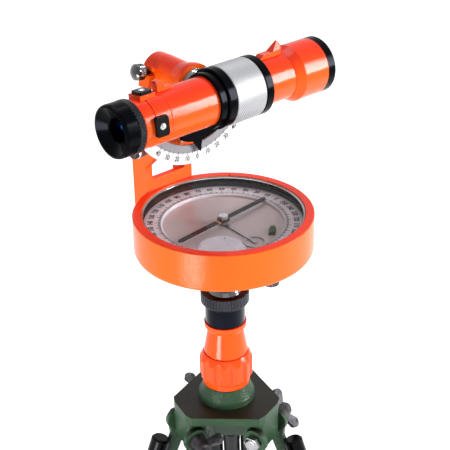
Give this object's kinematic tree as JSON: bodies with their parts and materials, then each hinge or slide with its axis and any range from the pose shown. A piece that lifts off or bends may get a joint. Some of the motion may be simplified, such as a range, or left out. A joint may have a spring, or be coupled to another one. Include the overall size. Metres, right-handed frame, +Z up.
{
  "type": "compass theodolite",
  "caption": "Compass theodolite with a tilting telescope, vertical arc and ball joint on a folding tripod",
  "frame": {"origin": "mouth of the plumb hook bore in the end of the centre screw under the tripod head, on the vertical axis", "axes": "+Z up along the vertical axis, +Y along the line of sight of the level telescope, +X to the right seen from the eyepiece; the standard stands on the -X side"},
  "size_m": [0.3216, 0.3182, 0.6593],
  "materials": {
    "green_paint": "satin",
    "cast_metal": "as cast",
    "bright_steel": "bright",
    "leg_black": "black anodised",
    "bare_aluminium": "satin",
    "orange_paint": "gloss",
    "polished_chrome": "polished",
    "dark_chrome": "polished, dark",
    "black_anodised": "black anodised",
    "black_plastic": "matte",
    "black_rubber": "smooth",
    "clear_glass": "clear",
    "coated_glass": "coated",
    "dial_satin": "satin",
    "silvered_ring": "silvered",
    "needle_black": "satin black",
    "brass": "turned",
    "vial_green": "clear green",
    "white_enamel": "enamel"
  },
  "bodies": {
    "tripod": {"tripod_head": "green_paint", "head_screw": "bright_steel", "pivot_bolts": "bright_steel", "neck_cone": "orange_paint", "ball_socket": "dark_chrome"},
    "leg_a": {"leg_top_a": "green_paint", "leg_tubes_a": "leg_black", "leg_clamp_a": "green_paint"},
    "slide_a": {"leg_slide_a": "leg_black"},
    "nut_a": {"hinge_nut_a": "cast_metal"},
    "lock_a": {"slide_screw_a": "cast_metal"},
    "leg_b": {"leg_top_b": "green_paint", "leg_tubes_b": "leg_black", "leg_clamp_b": "green_paint"},
    "slide_b": {"leg_slide_b": "leg_black"},
    "nut_b": {"hinge_nut_b": "cast_metal"},
    "lock_b": {"slide_screw_b": "cast_metal"},
    "leg_c": {"leg_top_c": "green_paint", "leg_tubes_c": "leg_black", "leg_clamp_c": "green_paint"},
    "slide_c": {"leg_slide_c": "leg_black"},
    "nut_c": {"hinge_nut_c": "cast_metal"},
    "lock_c": {"slide_screw_c": "cast_metal"},
    "mount_nut": {"mount_nut": "orange_paint"},
    "clamp": {"clamp_ring": "polished_chrome"},
    "ball": {"tilt_ball": "polished_chrome"},
    "spindle": {"ball_stem": "polished_chrome"},
    "alidade": {"azimuth_hub": "orange_paint", "compass_box": "orange_paint", "standard": "orange_paint", "bezel_ring": "polished_chrome", "cover_glass": "clear_glass", "dial_ring": "silvered_ring", "dial_plate": "dial_satin", "needle_pivot": "brass", "box_vial": "vial_green", "round_plate": "white_enamel", "arc_plate": "white_enamel", "level_tube": "polished_chrome"},
    "azimuth_lock": {"azimuth_screw": "polished_chrome"},
    "needle": {"needle": "needle_black"},
    "lifter": {"lifter": "brass"},
    "lift_knob": {"lift_knob": "polished_chrome"},
    "tilt_lock": {"tilt_screw": "polished_chrome"},
    "telescope": {"trunnion_shaft": "polished_chrome", "saddle": "black_anodised", "tube_main": "orange_paint", "tube_front": "orange_paint", "band_rear": "black_anodised", "band_front": "black_anodised", "objective_ring": "black_anodised", "objective_lens": "coated_glass", "reticle_covers": "black_plastic", "cover_screws": "bright_steel", "rear_sight": "orange_paint", "front_sight": "orange_paint"},
    "focus": {"focus_ring": "bare_aluminium"},
    "dioptre": {"diopter_ring": "black_anodised"},
    "eyepiece": {"eyecup": "black_rubber", "eye_lens": "coated_glass"}
  },
  "joints": [
    {"name": "leg_fold_a", "type": "hinge", "parent": "tripod", "child": "leg_a", "pos_m": [-0.00758, -0.03109, 0.0015], "axis": [0.9715, -0.2368, 0], "range_deg": [0, 20]},
    {"name": "leg_extend_a", "type": "slide", "parent": "leg_a", "child": "slide_a", "axis": [-0.081, -0.3323, -0.9397], "range_m": [0, 0.24]},
    {"name": "hinge_nut_turn_a", "type": "hinge", "parent": "tripod", "child": "nut_a", "pos_m": [-0.00758, -0.03109, 0.0015], "axis": [0.9715, -0.2368, 0], "range_deg": [0, 360]},
    {"name": "slide_lock_a", "type": "hinge", "parent": "leg_a", "child": "lock_a", "pos_m": [-0.03777, -0.15494, -0.32244], "axis": [-0.2226, -0.913, 0.342], "range_deg": [0, 360]},
    {"name": "leg_fold_b", "type": "hinge", "parent": "tripod", "child": "leg_b", "pos_m": [0.03071, 0.00898, 0.0015], "axis": [-0.2807, 0.9598, 0], "range_deg": [0, 20]},
    {"name": "leg_extend_b", "type": "slide", "parent": "leg_b", "child": "slide_b", "axis": [0.3283, 0.096, -0.9397], "range_m": [0, 0.24]},
    {"name": "hinge_nut_turn_b", "type": "hinge", "parent": "tripod", "child": "nut_b", "pos_m": [0.03071, 0.00898, 0.0015], "axis": [-0.2807, 0.9598, 0], "range_deg": [0, 360]},
    {"name": "slide_lock_b", "type": "hinge", "parent": "leg_b", "child": "lock_b", "pos_m": [0.15307, 0.04476, -0.32244], "axis": [0.9019, 0.2637, 0.342], "range_deg": [0, 360]},
    {"name": "leg_fold_c", "type": "hinge", "parent": "tripod", "child": "leg_c", "pos_m": [-0.02313, 0.02211, 0.0015], "axis": [-0.6909, -0.723, 0], "range_deg": [0, 20]},
    {"name": "leg_extend_c", "type": "slide", "parent": "leg_c", "child": "slide_c", "axis": [-0.2473, 0.2363, -0.9397], "range_m": [0, 0.24]},
    {"name": "hinge_nut_turn_c", "type": "hinge", "parent": "tripod", "child": "nut_c", "pos_m": [-0.02313, 0.02211, 0.0015], "axis": [-0.6909, -0.723, 0], "range_deg": [0, 360]},
    {"name": "slide_lock_c", "type": "hinge", "parent": "leg_c", "child": "lock_c", "pos_m": [-0.1153, 0.11018, -0.32244], "axis": [-0.6794, 0.6492, 0.342], "range_deg": [0, 360]},
    {"name": "mount_nut_turn", "type": "hinge", "parent": "tripod", "child": "mount_nut", "pos_m": [0, 0, 0.0333], "axis": [0, 0, 1], "range_deg": [0, 360]},
    {"name": "clamp_ring_turn", "type": "hinge", "parent": "tripod", "child": "clamp", "pos_m": [0, 0, 0.0971], "axis": [0, 0, 1], "range_deg": [0, 90]},
    {"name": "ball_tilt_x", "type": "hinge", "parent": "tripod", "child": "ball", "pos_m": [0, 0, 0.104], "axis": [1, 0, 0], "range_deg": [-15, 15]},
    {"name": "ball_tilt_y", "type": "hinge", "parent": "ball", "child": "spindle", "pos_m": [0, 0, 0.104], "axis": [0, 1, 0], "range_deg": [-15, 15]},
    {"name": "azimuth", "type": "hinge", "parent": "spindle", "child": "alidade", "pos_m": [0, 0, 0.1166], "axis": [0, 0, 1], "continuous": true},
    {"name": "azimuth_lock_turn", "type": "hinge", "parent": "alidade", "child": "azimuth_lock", "pos_m": [-0.01732, 0.01, 0.1241], "axis": [-0.866, 0.5, 0], "range_deg": [0, 360]},
    {"name": "needle_swing", "type": "hinge", "parent": "alidade", "child": "needle", "pos_m": [0, 0, 0.1591], "axis": [0, 0, 1], "continuous": true},
    {"name": "lift_knob_turn", "type": "hinge", "parent": "alidade", "child": "lift_knob", "pos_m": [0.051, -0.006, 0.1398], "axis": [0, 0, 1], "range_deg": [0, 90]},
    {"name": "lifter_rise", "type": "slide", "parent": "alidade", "child": "lifter", "axis": [0, 0, 1], "range_m": [0, 0.0012]},
    {"name": "telescope_tilt", "type": "hinge", "parent": "alidade", "child": "telescope", "pos_m": [0, 0, 0.2455], "axis": [1, 0, 0], "range_deg": [-45, 45]},
    {"name": "tilt_lock_turn", "type": "hinge", "parent": "alidade", "child": "tilt_lock", "pos_m": [-0.055, -0.0196, 0.25119], "axis": [0, -0.9799, 0.1994], "range_deg": [0, 360]},
    {"name": "focus_turn", "type": "hinge", "parent": "telescope", "child": "focus", "pos_m": [0, 0.009, 0.2455], "axis": [0, 1, 0], "range_deg": [-150, 150]},
    {"name": "dioptre_turn", "type": "hinge", "parent": "telescope", "child": "dioptre", "pos_m": [0, -0.072, 0.2455], "axis": [0, 1, 0], "range_deg": [0, 150]},
    {"name": "eyepiece_draw", "type": "slide", "parent": "telescope", "child": "eyepiece", "axis": [0, -1, 0], "range_m": [0, 0.0024]}
  ],
  "couplings": [
    {"joint": "lifter_rise", "follows": "lift_knob_turn", "m_per_rad": 0.00076},
    {"joint": "eyepiece_draw", "follows": "dioptre_turn", "m_per_rad": 0.0009}
  ]
}
